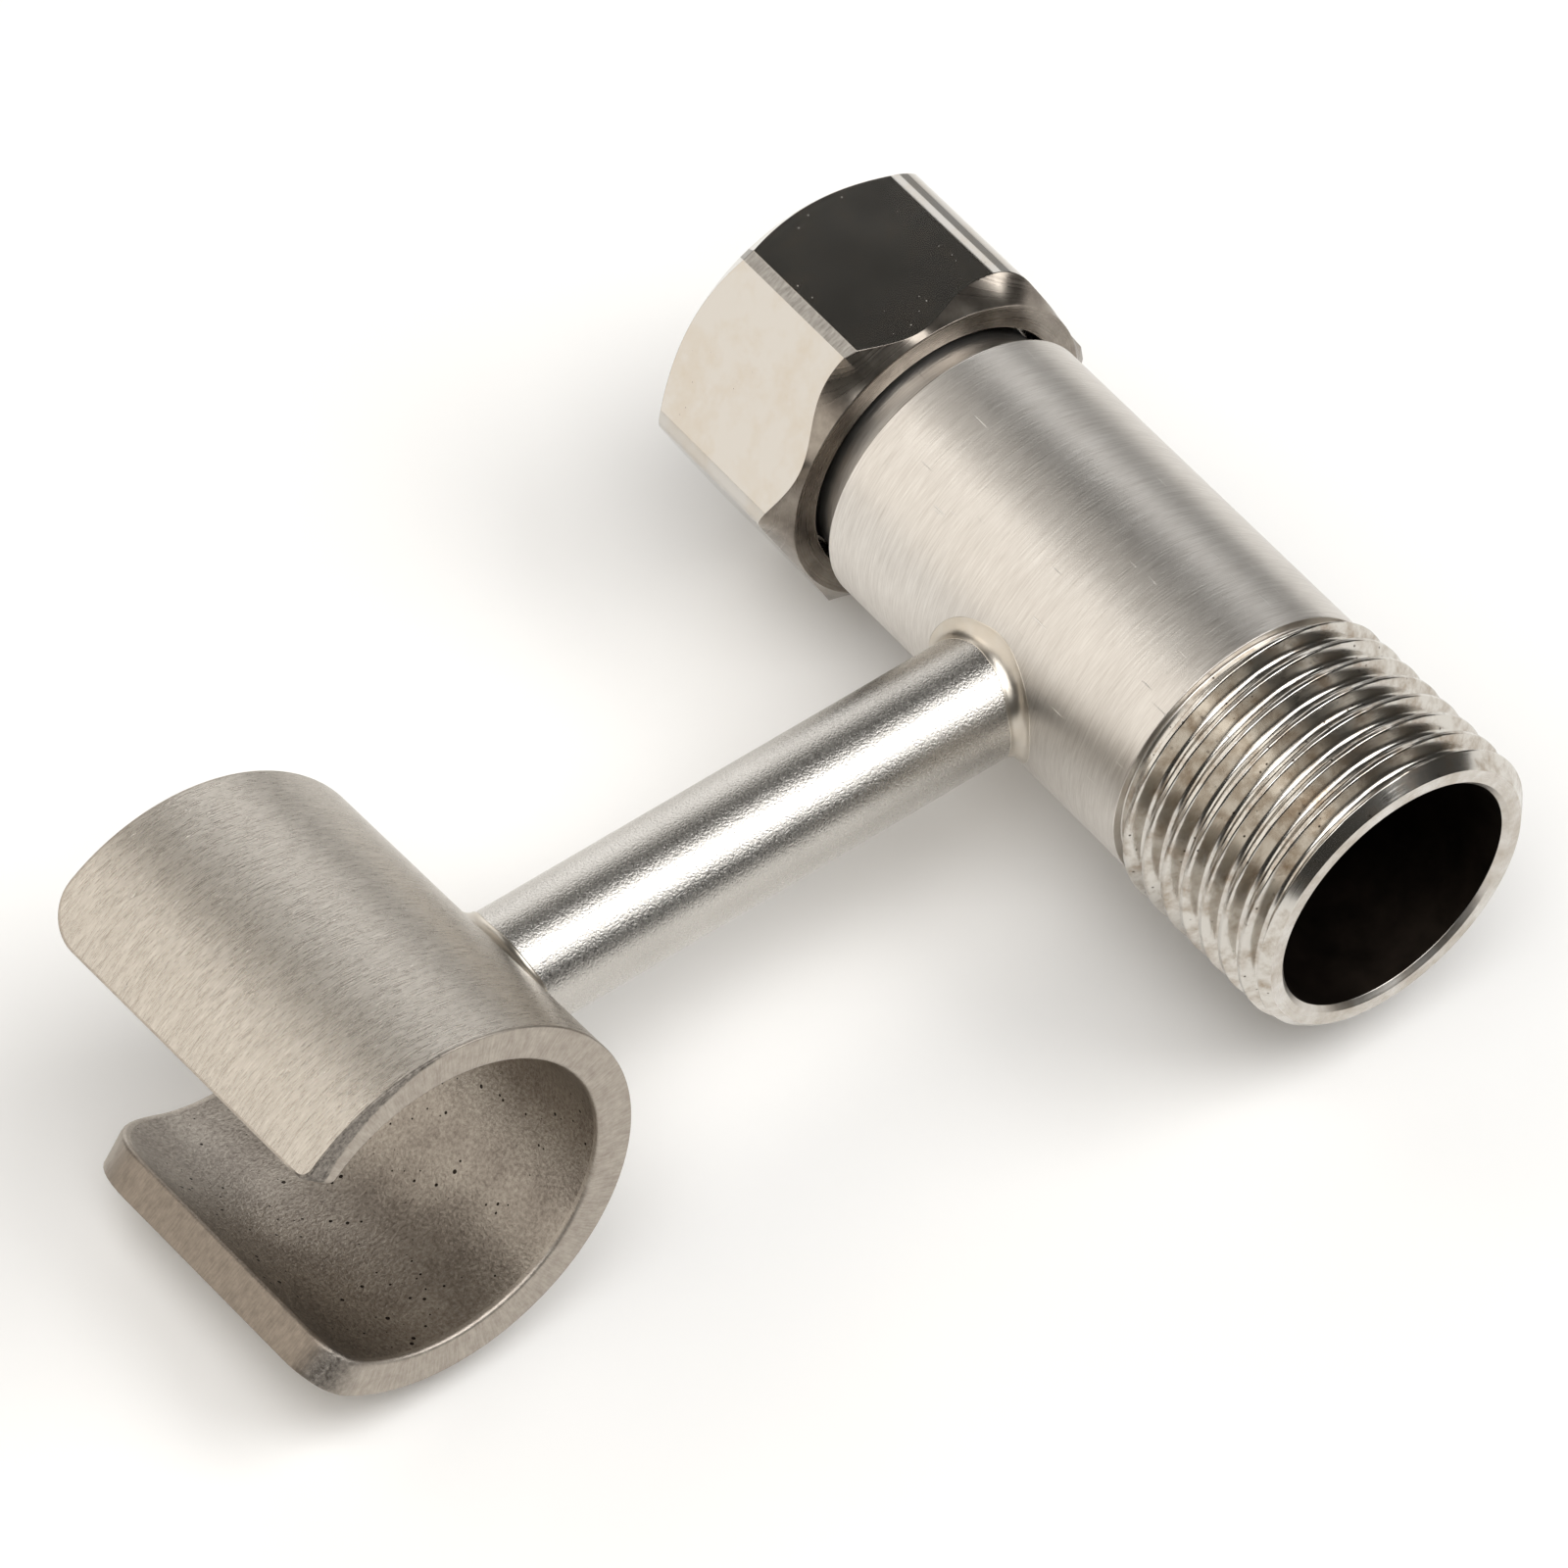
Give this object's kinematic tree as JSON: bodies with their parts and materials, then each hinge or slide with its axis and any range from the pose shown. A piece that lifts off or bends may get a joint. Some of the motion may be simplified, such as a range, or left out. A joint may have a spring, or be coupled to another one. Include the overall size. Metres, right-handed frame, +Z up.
{
  "type": "hose connector with hand-spray holder",
  "caption": "Straight steel hose connector with a loose hexagon nut, an outlet thread and a welded side arm that carries an open C-shaped cradle for a hand spray.",
  "frame": {"origin": "under the middle of the whole object, on the plane that it lies on", "axes": "+X from the cradle towards the pipe along the arm, +Y along the pipe from the outlet towards the nut, +Z up from the plane it lies on"},
  "size_m": [0.0822, 0.0578, 0.0288],
  "materials": {
    "turned_stainless": "turned and satin polished, fine lines round the pipe",
    "polished_stainless": "polished flats with broken edges",
    "blasted_stainless": "bead blasted satin",
    "brushed_stainless": "belt brushed outside, dull and pitted inside",
    "weld_stainless": "smooth dressed weld",
    "spring_stainless": "drawn spring wire",
    "black_rubber": "moulded, matt"
  },
  "bodies": {
    "root": {"connector_body": "turned_stainless", "retaining_ring": "spring_stainless", "sealing_washer": "black_rubber", "holder_arm": "blasted_stainless", "spray_cradle": "brushed_stainless", "body_weld": "weld_stainless", "cradle_weld": "weld_stainless"},
    "nut": {"swivel_nut": "polished_stainless"}
  },
  "joints": [
    {"name": "nut_swivel", "type": "hinge", "parent": "root", "child": "nut", "pos_m": [0.02851, 0.0223, 0.01433], "axis": [0, 1, 0], "continuous": true}
  ]
}
